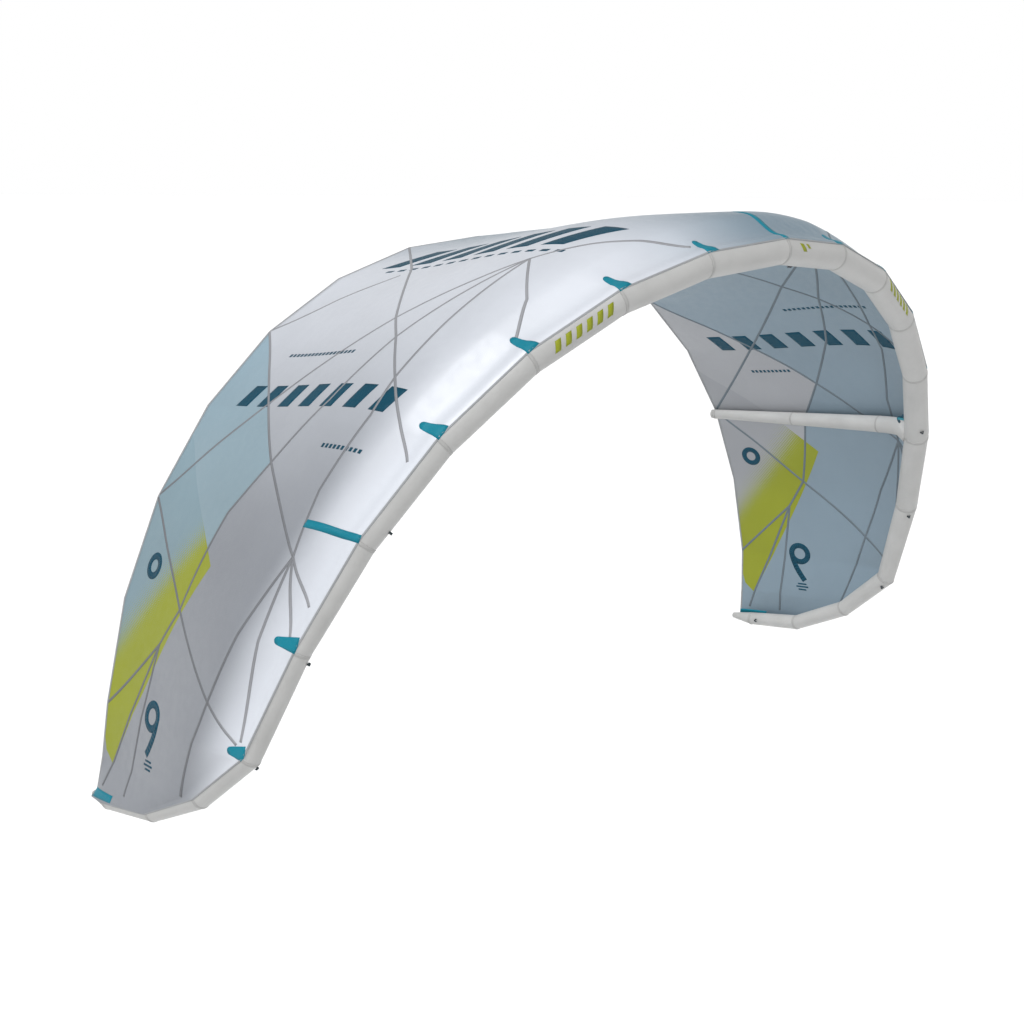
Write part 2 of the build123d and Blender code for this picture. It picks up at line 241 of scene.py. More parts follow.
def wrap_stretch(k):
    """A swept tube's section along the rib is this much longer than it is high."""
    sweep = min(0.9, (SEAM_Y[k] - SEAM_Y[max(k - 1, 0)]) / SEAM_PITCH)
    return 1 / sqrt(1 - sweep ** 2) if k <= MAIN_SEAMS else 1


def rib_height(k, t):
    if t >= LEAVE or k >= LAST_RIB - 1:
        return crown(k, t) + LIFT
    step = 0.002
    top = wrap_radius(k) + tube_rise(k)
    end = crown(k, LEAVE)
    slope = (crown(k, LEAVE + step) - crown(k, LEAVE - step)) / (2 * step) * LEAVE
    return hermite(top, end, 0.0, slope, t / LEAVE) + LIFT


def rib_point(k, t, side):
    """Canopy at rib k: t from -1 at its front edge, 0 on top of the tube, to 1 at the trailing edge."""
    if k < 0:
        k = -k
        side = -side
    if t >= 0:
        aft = chord(k) * t
        up = rib_height(k, t)
    else:
        turn = radians(WRAP_DEGREES[k]) * -t
        radius = wrap_radius(k) + LIFT
        aft = -radius * wrap_stretch(k) * sin(turn)
        up = tube_rise(k) + radius * cos(turn)
    return seam_point(k, side) + Vector((0, aft, 0)) + outward(k, side) * up


def front_reach(k):
    """Length of cloth from the top of the tube to the canopy's front edge."""
    return (wrap_radius(k) + LIFT) * wrap_stretch(k) * radians(WRAP_DEGREES[k])


RIB_CACHE = {}


def cached_rib(k, t, side):
    key = (k, round(t, 6), side)
    if key not in RIB_CACHE:
        RIB_CACHE[key] = rib_point(k, t, side)
    return RIB_CACHE[key]


def fullness(t):
    """How far the gores belly between their ribs: not at all on the tube and at the trailing edge."""
    return smooth(t, 0.0, 0.16) * (1 - smooth(t, 0.8, 1.0))


def wing(gore, share, t, side):
    """Canopy point in a gore at a share from its inner rib to its outer one."""
    near = cached_rib(gore, t, side)
    far = cached_rib(gore + 1, t, side)
    flat = near.lerp(far, share)
    full = fullness(t)
    if gore >= MAIN_SEAMS or full == 0:
        return flat
    before = cached_rib(gore - 1, t, side)
    after = cached_rib(gore + 2, t, side) if gore < MAIN_SEAMS - 1 else far * 2 - near
    return flat.lerp(hermite(near, far, (far - before) / 2, (after - near) / 2, share), full)


def gore_at(arc):
    arc = min(abs(arc), ARCS[LAST_RIB] - 1e-9)
    gore = 0
    while gore < LAST_RIB - 1 and arc > ARCS[gore + 1]:
        gore += 1
    return gore, (arc - ARCS[gore]) / (ARCS[gore + 1] - ARCS[gore])


def edges_at(arc):
    """The flat pattern's front edge, tube line and trailing edge at an arc length."""
    gore, share = gore_at(arc)
    line = mix(SEAM_Y[gore], SEAM_Y[gore + 1], share)
    tail = mix(SEAM_Y[gore] + chord(gore), SEAM_Y[gore + 1] + chord(gore + 1), share)
    reach = mix(front_reach(gore), front_reach(gore + 1), share)
    return line - reach, line, tail


def canopy_point(arc, y):
    """Where a point of the flat pattern lies: arc is signed, y runs aft from the kite's nose."""
    gore, share = gore_at(arc)
    front, line, tail = edges_at(arc)
    t = (y - line) / (tail - line) if y >= line else (y - line) / (line - front)
    return wing(gore, share, max(-1.0, min(1.0, t)), -1 if arc < 0 else 1)


def canopy_normal(arc, y):
    step = 0.004
    front, _, tail = edges_at(arc)
    y = min(max(y, front + step), tail - step)
    arc = min(max(arc, -ARCS[LAST_RIB] + step * 2), ARCS[LAST_RIB] - step * 2)
    across = canopy_point(arc + step, y) - canopy_point(arc - step, y)
    aft = canopy_point(arc, y + step) - canopy_point(arc, y - step)
    return across.cross(aft).normalized()


# ---- Meshes ----
def add_object(name, bm, materials):
    mesh = bpy.data.meshes.new(name)
    bm.to_mesh(mesh)
    bm.free()
    piece = bpy.data.objects.new(name, mesh)
    bpy.context.scene.collection.objects.link(piece)
    for material in materials:
        mesh.materials.append(material)
    mesh.polygons.foreach_set("use_smooth", [True] * len(mesh.polygons))
    return piece


def new_shell():
    """An empty mesh with the UV map that the cloth materials read."""
    shell = bmesh.new()
    shell.loops.layers.uv.new("Pattern")
    return shell


def bridge(shell, rings, closed, uv_at=None):
    """Faces from each ring of points to the next and, if closed, from the last to the first."""
    uv = shell.loops.layers.uv["Pattern"]
    rows = [[shell.verts.new(point) for point in ring_points] for ring_points in rings]
    count = len(rows[0])
    for r in range(len(rows) if closed else len(rows) - 1):
        near, far = rows[r], rows[(r + 1) % len(rows)]
        for i in range(count):
            j = (i + 1) % count
            face = shell.faces.new((near[i], far[i], far[j], near[j]))
            if uv_at:
                for loop, corner in zip(face.loops, ((r, i), (r + 1, i), (r + 1, i + 1), (r, i + 1))):
                    loop[uv].uv = uv_at(*corner)
    return rows


def close_shell(shell, name, key, uv_of=None):
    """Turns a shell's faces outward and makes it a piece, with UVs worked out from its points."""
    bmesh.ops.recalc_face_normals(shell, faces=shell.faces)
    if uv_of:
        uv = shell.loops.layers.uv["Pattern"]
        for face in shell.faces:
            for loop in face.loops:
                loop[uv].uv = uv_of(loop.vert.co)
    return add_object(name, shell, [MATERIALS[key]])


def place(piece, slot, *nodes):
    """Fastens a piece to the kite and hides the CAD nodes that it stands for; the finish passed with it is
    not used.
    """
    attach(piece, "root")
    if nodes:
        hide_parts(*nodes)
    return piece


def sewn_shell(flat, half, name, materials):
    """Thin closed cloth over a flat pattern, with the pattern's arc and y as its UV map."""
    flat.verts.index_update()
    shell = new_shell()
    uv = shell.loops.layers.uv["Pattern"]
    layers = ([], [])
    places = []
    for vert in flat.verts:
        arc, y = vert.co.x, vert.co.y
        places.append((arc, y))
        point = canopy_point(arc, y)
        normal = canopy_normal(arc, y)
        layers[0].append(shell.verts.new(point + normal * half))
        layers[1].append(shell.verts.new(point - normal * half))

    def add_face(corners, index):
        face = shell.faces.new([layers[layer][i] for layer, i in corners])
        face.material_index = index
        for loop, (_, i) in zip(face.loops, corners):
            loop[uv].uv = places[i]

    for face in flat.faces:
        around = [vert.index for vert in face.verts]
        add_face([(0, i) for i in around], face.material_index)
        add_face([(1, i) for i in reversed(around)], face.material_index)
    for edge in flat.edges:
        if len(edge.link_faces) == 1:
            loop = edge.link_loops[0]
            a, b = loop.vert.index, loop.link_loop_next.vert.index
            add_face([(0, b), (0, a), (1, a), (1, b)], edge.link_faces[0].material_index)
    flat.free()
    bmesh.ops.triangulate(shell, faces=[face for face in shell.faces if len(face.verts) > 4])
    return add_object(name, shell, materials)


def bisect(flat, faces, point, facing):
    """Cuts these faces of the flat pattern along a line, and gives their parts."""
    geometry = list(faces)
    for face in faces:
        geometry += [*face.edges, *face.verts]
    geometry = list(dict.fromkeys(geometry))
    done = bmesh.ops.bisect_plane(flat, geom=geometry, dist=1e-6, plane_co=point, plane_no=facing)
    return [item for item in done["geom"] if isinstance(item, bmesh.types.BMFace)]


def cut_flat(flat, start, end, margin=0.03):
    """Cuts the flat pattern along a straight line between two points."""
    low = (min(start[0], end[0]) - margin, min(start[1], end[1]) - margin)
    high = (max(start[0], end[0]) + margin, max(start[1], end[1]) + margin)
    faces = []
    for face in flat.faces:
        middle = face.calc_center_median()
        if low[0] <= middle.x <= high[0] and low[1] <= middle.y <= high[1]:
            faces.append(face)
    across = Vector((start[1] - end[1], end[0] - start[0], 0)).normalized()
    bisect(flat, faces, (start[0], start[1], 0), across)


def flat_strip(flat, route, width):
    """A tape's outline on the flat pattern, along a route, in short steps."""
    points = []
    for a, b in zip(route, route[1:]):
        steps = max(1, int(hypot(b[0] - a[0], b[1] - a[1]) / TAPE_STEP))
        start, end = Vector((*a, 0)), Vector((*b, 0))
        points += [start.lerp(end, i / steps) for i in range(steps)]
    points.append(Vector((*route[-1], 0)))
    pairs = []
    for i, point in enumerate(points):
        along = (points[min(i + 1, len(points) - 1)] - points[max(i - 1, 0)]).normalized()
        across = Vector((-along.y, along.x, 0)) * width / 2
        pairs.append((flat.verts.new(point - across), flat.verts.new(point + across)))
    for (a, b), (c, d) in zip(pairs, pairs[1:]):
        flat.faces.new((a, c, d, b))


def flat_polygon(flat, outline, side=1):
    """A cut shape on the flat pattern, divided finely enough to follow the wing."""
    outline = [(side * x, y) for x, y in outline]
    face = flat.faces.new([flat.verts.new((x, y, 0)) for x, y in outline])
    face.normal_update()
    if face.normal.z < 0:
        face.normal_flip()
    xs = [x for x, _ in outline]
    ys = [y for _, y in outline]
    parts = [face]
    for axis, values in ((0, xs), (1, ys)):
        count = int((max(values) - min(values)) / PRINT_STEP)
        for i in range(1, count + 1):
            at = mix(min(values), max(values), i / (count + 1))
            plane = (at, 0, 0) if axis == 0 else (0, at, 0)
            facing = (1, 0, 0) if axis == 0 else (0, 1, 0)
            parts = bisect(flat, parts, plane, facing)


# ---- Materials ----
class Nodes:
    """A material's node tree, with short names for the nodes that cloth and plastic need."""

    def __init__(self, name):
        self.material = bpy.data.materials.new(name)
        self.material.use_nodes = True
        self.tree = self.material.node_tree
        self.shader = self.tree.nodes["Principled BSDF"]

    def add(self, kind, **settings):
        node = self.tree.nodes.new(kind)
        for key, value in settings.items():
            setattr(node, key, value)
        return node

    def link(self, source, target):
        self.tree.links.new(source, target)

    def feed(self, socket, value):
        """Sets a socket to a colour or number, or links it to a node's output."""
        if isinstance(value, tuple):
            socket.default_value = (*value, 1)
        elif isinstance(value, (int, float)):
            socket.default_value = value
        else:
            self.link(value, socket)

    def math(self, operation, a, b=0.0, c=0.0):
        node = self.add("ShaderNodeMath", operation=operation)
        for socket, value in zip(node.inputs, (a, b, c)):
            self.feed(socket, value)
        return node.outputs[0]

    def ramp(self, value, low, high, to_low=0.0, to_high=1.0):
        node = self.add("ShaderNodeMapRange", interpolation_type="SMOOTHSTEP")
        for socket, each in zip(node.inputs, (value, low, high, to_low, to_high)):
            self.feed(socket, each)
        return node.outputs[0]

    def noise(self, place, scale, detail=3.0, rough=0.55):
        node = self.add("ShaderNodeTexNoise")
        self.link(place, node.inputs["Vector"])
        node.inputs["Scale"].default_value = scale
        node.inputs["Detail"].default_value = detail
        node.inputs["Roughness"].default_value = rough
        return node.outputs["Fac"]

    def blend(self, share, a, b):
        node = self.add("ShaderNodeMix", data_type="RGBA")
        self.feed(node.inputs[0], share)
        self.feed(node.inputs[6], a)
        self.feed(node.inputs[7], b)
        return node.outputs[2]

    def fleck(self, value, low, high, share, color, over):
        """A colour with another laid thinly over it where value is high."""
        return self.blend(self.math("MULTIPLY", self.ramp(value, low, high), share), color, over)

    def pattern(self):
        """The cloth's flat pattern in metres, with its signed arc and its y."""
        vector = self.add("ShaderNodeUVMap", uv_map="Pattern").outputs[0]
        arc, y, _ = self.split(vector)
        return vector, arc, y

    def split(self, vector):
        node = self.add("ShaderNodeSeparateXYZ")
        self.link(vector, node.inputs[0])
        return node.outputs

    def object_place(self):
        return self.add("ShaderNodeTexCoord").outputs["Object"]

    def tint(self, color, amount, share):
        """Colour varied lighter and darker by amount where share runs from 0 to 1."""
        node = self.add("ShaderNodeHueSaturation")
        self.feed(node.inputs["Color"], color)
        self.link(self.ramp(share, 0.3, 0.7, 1 - amount, 1 + amount), node.inputs["Value"])
        return node.outputs[0]

    def bump(self, height, distance, strength=1.0, under=None):
        node = self.add("ShaderNodeBump")
        node.inputs["Distance"].default_value = distance
        node.inputs["Strength"].default_value = strength
        self.link(height, node.inputs["Height"])
        if under is not None:
            self.link(under, node.inputs["Normal"])
        return node.outputs[0]

    def finish(self, color, rough, normal, **fixed):
        self.feed(self.shader.inputs["Base Color"], color)
        self.feed(self.shader.inputs["Roughness"], rough)
        self.link(normal, self.shader.inputs["Normal"])
        for name, value in fixed.items():
            self.shader.inputs[name.replace("_", " ")].default_value = value
        return self.material


def grid_lines(nodes, u, v, pitch, width):
    """1 on the lines of a square grid, 0 between them."""
    lines = []
    for axis in (u, v):
        cell = nodes.math("FRACT", nodes.math("DIVIDE", axis, pitch))
        lines.append(nodes.math("LESS_THAN", cell, width))
    return nodes.math("MAXIMUM", *lines)


def weave_height(nodes, u, v, pitch):
    """Over and under threads of a plain weave."""
    waves = []
    for axis in (u, v):
        turn = nodes.math("MULTIPLY", axis, 2 * pi / pitch)
        waves.append(nodes.math("SINE", turn))
    return nodes.math("MULTIPLY", *waves)


def lower_wing_painted_shade(nodes, u, v):
    """Mask of painted shade: 1 on the cloth of the lower wing behind the tube, where the wing turns away
    from the light, 0 near the middle and along the tube.
    """
    arc = nodes.math("ABSOLUTE", u)
    line = nodes.math("POWER", nodes.math("DIVIDE", arc, SEAM_PITCH), SWEEP_POWER)
    aft = nodes.math("SUBTRACT", v, nodes.math("MULTIPLY", line, SWEEP))
    return nodes.math("MULTIPLY", nodes.ramp(arc, 0.9, 2.4), nodes.ramp(aft, 0.0, 0.26))


def shaded(nodes, u, v, color, low):
    """The cloth's colour, blended on the lower wing into a darker copy of it where one is given: painted
    shade.
    """
    return color if low is None else nodes.blend(lower_wing_painted_shade(nodes, u, v), color, low)


RIPSTOP_PITCH = 0.006
RIPSTOP_LINE = 0.13          # a grid line's share of the pitch


def coated(nodes, place, color, rough, line, line_color, **fixed):
    """Ripstop over a colour: its grid, faint crinkles, soiling and uneven gloss."""
    pattern, u, v = place
    clouds = nodes.noise(pattern, 2.2, 4.0)
    crinkle = nodes.noise(pattern, 26.0, 5.0)
    grid = grid_lines(nodes, u, v, RIPSTOP_PITCH, RIPSTOP_LINE)
    toned = nodes.tint(color, 0.035, clouds)
    toned = nodes.blend(nodes.math("MULTIPLY", grid, line), toned, line_color)
    normal = nodes.bump(crinkle, 0.0016, 0.5)
    normal = nodes.bump(grid, 0.00025, 0.5, normal)
    gloss = nodes.ramp(crinkle, 0.3, 0.7, rough - 0.05, rough + 0.07)
    return nodes.finish(toned, gloss, normal, **fixed)


def ripstop(name, color, rough=0.36, second=None, second_from=0.0, second_to=1.0, low=None):
    """Coated ripstop cloth with a satin sheen, which may run into a second colour along the wing; the cloth
    changes colour there, and the wide fade between the two is painted shade. A darker copy given for the
    lower wing is painted shade too.
    """
    nodes = Nodes(name)
    place = nodes.pattern()
    _, u, v = place
    if second is not None:
        # The fade into the second colour: the cloth's own colour change, spread wide as painted shade.
        color = nodes.blend(nodes.ramp(u, second_from, second_to), color, second)
    # Painted shade: darker on the lower wing when a darker copy is given.
    color = shaded(nodes, u, v, color, low)
    fixed = {"Specular_IOR_Level": 0.55, "Sheen_Weight": 0.08}
    return coated(nodes, place, color, rough, 0.10, (0.30, 0.33, 0.36), **fixed)


WEDGE_CORNER = (2.367, 1.142)
WEDGE_FOOT = (3.236, 1.634)
WEDGE_RUN = Vector((WEDGE_FOOT[0] - WEDGE_CORNER[0], WEDGE_FOOT[1] - WEDGE_CORNER[1])).normalized()
WEDGE_SOLID = 0.030          # the ink is solid this far behind the wedge's straight edge
WEDGE_DEPTH = 0.320          # and has faded out this far behind it
WEDGE_WIDEN = 0.20           # both move aft by this share of the way along the edge
DOT_PITCH = 0.011
DOT_REACH = 0.74             # a dot's radius in pitches at full ink, enough to close the corners


def halftone(name, cloth, ink, low=None):
    """Ripstop with a printed wedge: solid ink beside its straight edge, fading into dots behind it."""
    nodes = Nodes(name)
    place = nodes.pattern()
    pattern, u, v = place
    # Painted shade: the cloth under the print darkens on the lower wing when a darker copy is given.
    cloth = shaded(nodes, u, v, cloth, low)
    arc = nodes.math("SUBTRACT", nodes.math("ABSOLUTE", u), WEDGE_CORNER[0])
    aft = nodes.math("SUBTRACT", v, WEDGE_CORNER[1])
    terms = [nodes.math("MULTIPLY", axis, part) for axis, part in zip((arc, aft), WEDGE_RUN)]
    run = nodes.math("ADD", *terms)
    terms = [nodes.math("MULTIPLY", axis, part) for axis, part in zip((aft, arc), WEDGE_RUN)]
    off = nodes.math("SUBTRACT", *terms)
    off = nodes.math("SUBTRACT", off, nodes.math("MULTIPLY", run, WEDGE_WIDEN))
    strength = nodes.ramp(off, WEDGE_DEPTH, WEDGE_SOLID)
    turned = nodes.add("ShaderNodeMapping")
    nodes.link(pattern, turned.inputs["Vector"])
    turned.inputs["Rotation"].default_value = (0, 0, radians(45))
    turned.inputs["Scale"].default_value = (1 / DOT_PITCH, 1 / DOT_PITCH, 1)
    axes = nodes.split(turned.outputs[0])[:2]
    cells = [nodes.math("SUBTRACT", nodes.math("FRACT", axis), 0.5) for axis in axes]
    squares = [nodes.math("MULTIPLY", cell, cell) for cell in cells]
    distance = nodes.math("SQRT", nodes.math("ADD", *squares))
    dots = nodes.math("LESS_THAN", distance, nodes.math("MULTIPLY", strength, DOT_REACH))
    color = nodes.blend(dots, cloth, ink)
    return coated(nodes, place, color, 0.38, 0.08, (0.25, 0.28, 0.22), Specular_IOR_Level=0.2)


def woven(name, color, rough, pitch=0.0022, fibre=0.06, low=None):
    """Dense woven cloth with a few pale fibres and soiling."""
    nodes = Nodes(name)
    pattern, u, v = nodes.pattern()
    clouds = nodes.noise(pattern, 5.0, 4.0)
    fibres = nodes.noise(pattern, 300.0, 2.0)
    threads = weave_height(nodes, u, v, pitch)
    # Painted shade: darker on the lower wing when a darker copy is given.
    toned = nodes.tint(shaded(nodes, u, v, color, low), 0.05, clouds)
    toned = nodes.fleck(fibres, 0.45, 0.75, fibre, toned, (0.8, 0.8, 0.8))
    normal = nodes.bump(threads, 0.0002, 0.6)
    normal = nodes.bump(clouds, 0.002, 0.3, normal)
    gloss = nodes.ramp(fibres, 0.3, 0.7, rough - 0.07, rough + 0.07)
    return nodes.finish(toned, gloss, normal, Specular_IOR_Level=0.15)


def tube_cloth(name, color):
    """Air tube's coated polyester: fine weave, soft creases and grime along them."""
    nodes = Nodes(name)
    pattern, u, v = nodes.pattern()
    clouds = nodes.noise(pattern, 6.0, 5.0)
    crease = nodes.noise(pattern, 34.0, 4.0)
    weave = weave_height(nodes, u, v, 0.0024)
    toned = nodes.tint(color, 0.05, clouds)
    toned = nodes.fleck(crease, 0.55, 0.8, 0.10, toned, (0.22, 0.22, 0.21))
    normal = nodes.bump(crease, 0.0012, 0.5)
    normal = nodes.bump(weave, 0.00015, 0.5, normal)
    gloss = nodes.ramp(clouds, 0.3, 0.7, 0.38, 0.52)
    return nodes.finish(toned, gloss, normal, Specular_IOR_Level=0.45, Sheen_Weight=0.06)


def moulded(name, color, rough, worn):
    """Moulded plastic or rubber: fine grain, scuffs that lighten it, and uneven gloss."""
    nodes = Nodes(name)
    place = nodes.object_place()
    grain = nodes.noise(place, 900.0, 2.0)
    scuffs = nodes.noise(place, 90.0, 6.0, 0.7)
    toned = nodes.fleck(scuffs, 0.58, 0.8, 0.5, color, worn)
    normal = nodes.bump(grain, 0.0002, 0.5)
    normal = nodes.bump(scuffs, 0.0004, 0.3, normal)
    return nodes.finish(toned, nodes.ramp(scuffs, 0.3, 0.75, rough, rough + 0.18), normal)


def film(name, color):
    """Soft bladder film, slightly cloudy, with talc marks."""
    nodes = Nodes(name)
    place = nodes.object_place()
    talc = nodes.noise(place, 14.0, 6.0)
    toned = nodes.blend(nodes.ramp(talc, 0.45, 0.75), color, (0.93, 0.94, 0.92))
    normal = nodes.bump(talc, 0.003, 0.4)
    return nodes.finish(toned, nodes.ramp(talc, 0.3, 0.7, 0.25, 0.5), normal)


def brushed_steel(name):
    nodes = Nodes(name)
    place = nodes.object_place()
    stretched = nodes.add("ShaderNodeMapping")
    nodes.link(place, stretched.inputs["Vector"])
    stretched.inputs["Scale"].default_value = (40, 900, 900)
    lines = nodes.noise(stretched.outputs[0], 1.0, 4.0)
    toned = nodes.tint((0.62, 0.63, 0.64), 0.12, lines)
    gloss = nodes.ramp(lines, 0.3, 0.7, 0.24, 0.42)
    return nodes.finish(toned, gloss, nodes.bump(lines, 0.0001, 0.4), Metallic=1.0)


SILVER = (0.545, 0.570, 0.620)
# Darker copies of the silver and mist blue cloths for the lower wing: painted shade.
PAINTED_SHADE_SILVER = (0.185, 0.198, 0.222)
PAINTED_SHADE_BLUE = (0.175, 0.250, 0.290)
MIST_BLUE = (0.255, 0.365, 0.440)
SLATE_BLUE = (0.160, 0.224, 0.276)
WARM_GREY = (0.280, 0.290, 0.312)
LIME = (0.235, 0.262, 0.016)
TEAL = (0.003, 0.170, 0.235)
DEEP_TEAL = (0.002, 0.050, 0.085)
TAPE_GREY = (0.270, 0.277, 0.295)
# Darker copy of the load tape grey for the lower wing: painted shade.
PAINTED_SHADE_TAPE = (0.132, 0.139, 0.152)
TAPE_BLUE = (0.120, 0.150, 0.175)
TUBE_GREY = (0.390, 0.390, 0.385)

MATERIALS = {
    # The left main cloth fades from slate near the middle to silver further out. The cloth changes colour at
    # the middle, and the wide fade is painted shade. The darker lower wing of the silver, mist, wedge and
    # tape cloths is painted shade.
    "main_left": ripstop("silver_ripstop_painted_shade", SLATE_BLUE, 0.36, SILVER, 0.05, -0.80, PAINTED_SHADE_SILVER),
    # The slate cloth takes a faint trace of silver next to the middle, the edge of the same painted fade.
    "main_right": ripstop("slate_ripstop", SLATE_BLUE, 0.40, SILVER, 0.10, -0.75),
    "tail_left": ripstop("mist_ripstop_painted_shade", MIST_BLUE, 0.38, low=PAINTED_SHADE_BLUE),
    "tail_right": ripstop("grey_ripstop", WARM_GREY, 0.40),
    "wedge_left": halftone("lime_wedge_on_mist_painted_shade", MIST_BLUE, LIME, PAINTED_SHADE_BLUE),
    "wedge_right": halftone("lime_wedge_on_grey", WARM_GREY, LIME),
    "tape_left": woven("load_tape_silver_painted_shade", TAPE_GREY, 0.48, low=PAINTED_SHADE_TAPE),
    "tape_right": woven("load_tape_slate", TAPE_BLUE, 0.48),
    "hem": woven("hem_tape", (0.27, 0.28, 0.29), 0.5),
    "teal": woven("teal_dacron", TEAL, 0.42, fibre=0.03),
    "print": woven("deep_teal_print", DEEP_TEAL, 0.45, 0.003, 0.015),
    "lime": woven("lime_print", LIME, 0.45, 0.003, 0.03),
    "tube": tube_cloth("tube_cloth", TUBE_GREY),
    "seam": woven("seam_tape", (0.34, 0.34, 0.335), 0.5),
    "webbing": woven("webbing", (0.02, 0.03, 0.035), 0.6),
    "film": film("bladder_film", (0.78, 0.82, 0.80)),
    "hose": moulded("hose_rubber", (0.010, 0.060, 0.090), 0.45, (0.06, 0.12, 0.15)),
    "lever": moulded("lever_plastic", (0.008, 0.200, 0.260), 0.32, (0.10, 0.35, 0.40)),
    "clamp": moulded("clamp_plastic", (0.012, 0.050, 0.075), 0.36, (0.08, 0.14, 0.17)),
    "valve": moulded("valve_plastic", (0.030, 0.036, 0.042), 0.38, (0.14, 0.15, 0.16)),
    "steel": brushed_steel("pin_steel"),
}


# ---- Canopy ----
PANEL_LINE = (
    (1.287, 1.705), (1.945, 1.027), (2.159, 1.162), (2.302, 1.203), (2.553, 1.270), (2.703, 1.372),
    (3.003, 1.705),
)
WEDGE = (WEDGE_CORNER, WEDGE_FOOT, (3.190, 1.690), (3.050, 1.730), (1.822, 1.730))
CANOPY_SLOTS = ("main_left", "main_right", "tail_left", "tail_right", "wedge_left", "wedge_right")


def behind_panel_line(arc, y):
    for (a, ya), (b, yb) in zip(PANEL_LINE, PANEL_LINE[1:]):
        if a <= arc <= b:
            return y > mix(ya, yb, (arc - a) / (b - a))
    return False


def inside(outline, arc, y):
    turns = []
    for (a, ya), (b, yb) in zip(outline, outline[1:] + outline[:1]):
        turns.append((b - a) * (y - ya) - (yb - ya) * (arc - a))
    return all(turn >= 0 for turn in turns)


def cloth_index(arc, y):
    right = 1 if arc > 0 else 0
    if inside(WEDGE, abs(arc), y):
        return 4 + right
    if behind_panel_line(abs(arc), y):
        return 2 + right
    return right


def column_arcs():
    half = []
    for gore in range(LAST_RIB):
        half += [mix(ARCS[gore], ARCS[gore + 1], i / GORE_COLUMNS) for i in range(GORE_COLUMNS)]
    half.append(ARCS[LAST_RIB])
    return [-arc for arc in reversed(half[1:])] + half


def row_shares():
    wrap = [-1 + i / WRAP_ROWS for i in range(WRAP_ROWS)]
    rise = [LEAVE * i / RISE_ROWS for i in range(RISE_ROWS)]
    return wrap + rise + [mix(LEAVE, 1, (i / AFT_ROWS) ** 1.2) for i in range(AFT_ROWS + 1)]


def canopy_pattern():
    """The canopy's flat pattern as a grid, cut along the edges of its coloured cloths."""
    flat = bmesh.new()
    columns = []
    for arc in column_arcs():
        front, line, tail = edges_at(arc)
        ys = [mix(line, tail, t) if t >= 0 else mix(line, front, -t) for t in row_shares()]
        columns.append([flat.verts.new((arc, y, 0)) for y in ys])
    for near, far in zip(columns, columns[1:]):
        for i in range(len(near) - 1):
            flat.faces.new((near[i], far[i], far[i + 1], near[i + 1]))
    lines = list(zip(PANEL_LINE, PANEL_LINE[1:])) + list(zip(WEDGE, WEDGE[1:] + WEDGE[:1]))
    for side in (-1, 1):
        for (a, ya), (b, yb) in lines:
            cut_flat(flat, (side * a, ya), (side * b, yb))
    for face in flat.faces:
        middle = face.calc_center_median()
        face.material_index = cloth_index(middle.x, middle.y)
    return flat


def make_canopy():
    pattern = canopy_pattern()
    area = sum(face.calc_area() for face in pattern.faces)
    canopy = sewn_shell(pattern, CANOPY_HALF, "canopy", [MATERIALS[slot] for slot in CANOPY_SLOTS])
    nodes = [f"canopy_{side}_{part}" for side in ("left", "right") for part in (*range(1, 8), "tip")]
    return place(canopy, "canopy_cloth", *nodes), area


# ---- Tapes, hems, patches and prints, sewn or printed through the canopy ----
HUB_A = (1.945, 1.027)
HUB_B = (2.267, 0.655)
HUB_C = (2.553, 1.270)
HUB_D = (2.839, 0.943)
HUB_F = (0.865, 0.499)
HUB_G = (1.244, 0.890)
HUB_I = (1.366, 0.759)
HUB_J = (1.559, 0.578)
TAPES = (
    ((1.287, 1.705), HUB_A, HUB_B, (2.417, 0.551)),
    ((0.429, 1.705), (0.786, 1.298), HUB_G, HUB_I, HUB_J, (1.716, 0.442), (1.838, 0.360)),
    ((2.145, 1.705), (1.695, 1.298), HUB_G, (1.008, 0.637), HUB_F),
    ((2.145, 1.705), HUB_C, HUB_D, (2.960, 0.785)),
    (HUB_F, HUB_I, (1.673, 0.868), *PANEL_LINE[1:]),
    ((2.703, 1.372), (3.330, 1.679)),
    ((2.703, 1.372), (3.325, 1.491)),
    (HUB_F, HUB_J, (1.723, 0.577), (2.023, 0.654), HUB_B),
    (HUB_B, (2.567, 0.823), HUB_D, (3.227, 1.103)),
    (HUB_B, (2.574, 0.719), (2.946, 0.767)),
    (HUB_B, (2.538, 0.600)),
    (HUB_F, (1.094, 0.311), (1.273, 0.240)),
    (HUB_F, (0.636, 0.251), (0.450, 0.074)),
    ((1.287, 1.705), (1.037, 1.503), (0.851, 1.300)),
)


def make_tapes(word, side):
    flat = bmesh.new()
    for route in TAPES:
        flat_strip(flat, [(side * arc, y) for arc, y in route], TAPE_WIDTH)
    if side < 0:
        bmesh.ops.recalc_face_normals(flat, faces=flat.faces)
    tapes = sewn_shell(flat, TAPE_HALF, f"load_tapes_{word}", [MATERIALS[f"tape_{word}"]])
    return place(tapes, "canopy_cloth")


def edge_route(which, inset):
    """A line along the canopy's front (0) or trailing (2) edge, inset into the cloth."""
    route = []
    for arc in column_arcs()[::4]:
        edge = edges_at(arc)[which]
        route.append((arc, edge + (inset if which == 0 else -inset)))
    return route


def make_hem(name, which, width):
    flat = bmesh.new()
    flat_strip(flat, edge_route(which, width / 2), width)
    return place(sewn_shell(flat, HEM_HALF, name, [MATERIALS["hem"]]), "canopy_cloth")


